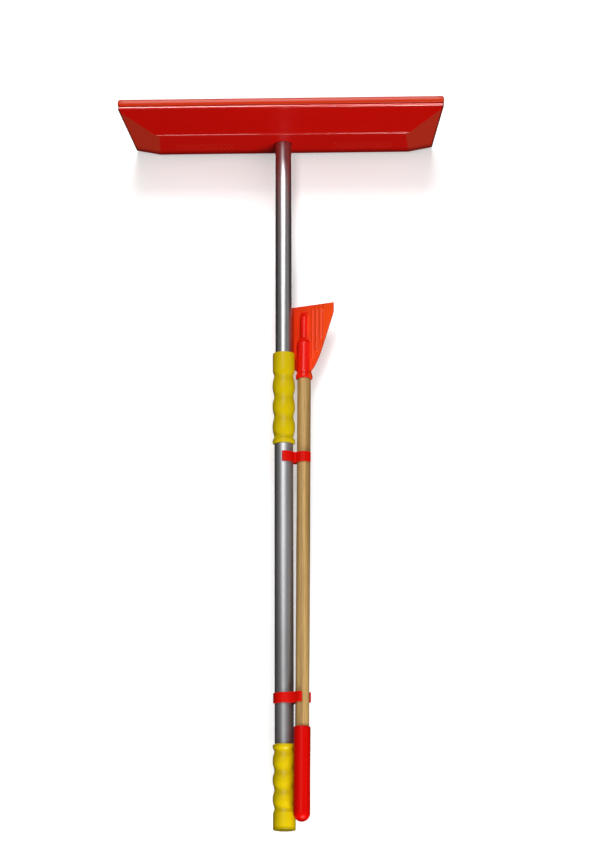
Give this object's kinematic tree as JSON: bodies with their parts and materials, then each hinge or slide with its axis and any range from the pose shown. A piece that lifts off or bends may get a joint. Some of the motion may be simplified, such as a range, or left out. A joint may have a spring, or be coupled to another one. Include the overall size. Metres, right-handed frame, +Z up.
{
  "type": "telescopic squeegee",
  "caption": "Telescopic pole with a wide moulded wiping head, ribbed vinyl hand grips, and a wooden-handled hand scraper clipped beside it.",
  "frame": {"origin": "centre of the flat closed end of the lower finger grip, at the pole's butt end", "axes": "+Z up along the pole to the head, -Y towards the wiping lip, +X to the side that carries the hand scraper"},
  "size_m": [0.488, 0.1585, 1.078],
  "materials": {
    "tube_silver": "drawn satin aluminium",
    "grip_yellow": "satin soft vinyl",
    "black_plastic": "moulded, matte",
    "steel": "zinc plated",
    "head_red": "glossy moulded plastic",
    "lip_red": "satin soft plastic",
    "clip_red": "moulded plastic",
    "scraper_red": "moulded plastic, slightly glossy",
    "wood": "turned hardwood, thin varnish",
    "grip_red": "dipped vinyl, satin"
  },
  "bodies": {
    "outer_pole": {"outer_tube": "tube_silver", "lower_grip": "grip_yellow", "upper_grip": "grip_yellow", "end_plug": "black_plastic"},
    "lock_ring": {"lock_ring": "black_plastic"},
    "inner_pole": {"inner_tube": "tube_silver", "lock_plug": "black_plastic", "lock_plug_pin": "steel", "lock_end_disc": "black_plastic", "lock_screw": "steel", "inner_top_plug": "black_plastic", "head_plate": "head_red", "wiping_lip": "lip_red", "head_bolt": "steel", "head_nut": "steel", "front_washer": "steel", "back_washer": "steel"},
    "clips": {"clip_lower": "clip_red", "clip_upper": "clip_red"},
    "scraper": {"scraper_blade": "scraper_red", "scraper_handle": "wood", "scraper_grip": "grip_red", "scraper_screw": "steel"}
  },
  "joints": [
    {"name": "pole_extend", "type": "slide", "parent": "outer_pole", "child": "lock_ring", "axis": [0, 0, 1], "range_m": [-0.21, 0.24]},
    {"name": "pole_twist", "type": "hinge", "parent": "lock_ring", "child": "inner_pole", "pos_m": [0, 0, 0.36], "axis": [0, 0, 1], "range_deg": [0, 90]},
    {"name": "clip_turn", "type": "hinge", "parent": "outer_pole", "child": "clips", "pos_m": [0, 0, 0.38], "axis": [0, 0, 1], "continuous": true},
    {"name": "scraper_unclip", "type": "slide", "parent": "clips", "child": "scraper", "axis": [0.9848, -0.1736, 0], "range_m": [0, 0.15]}
  ]
}
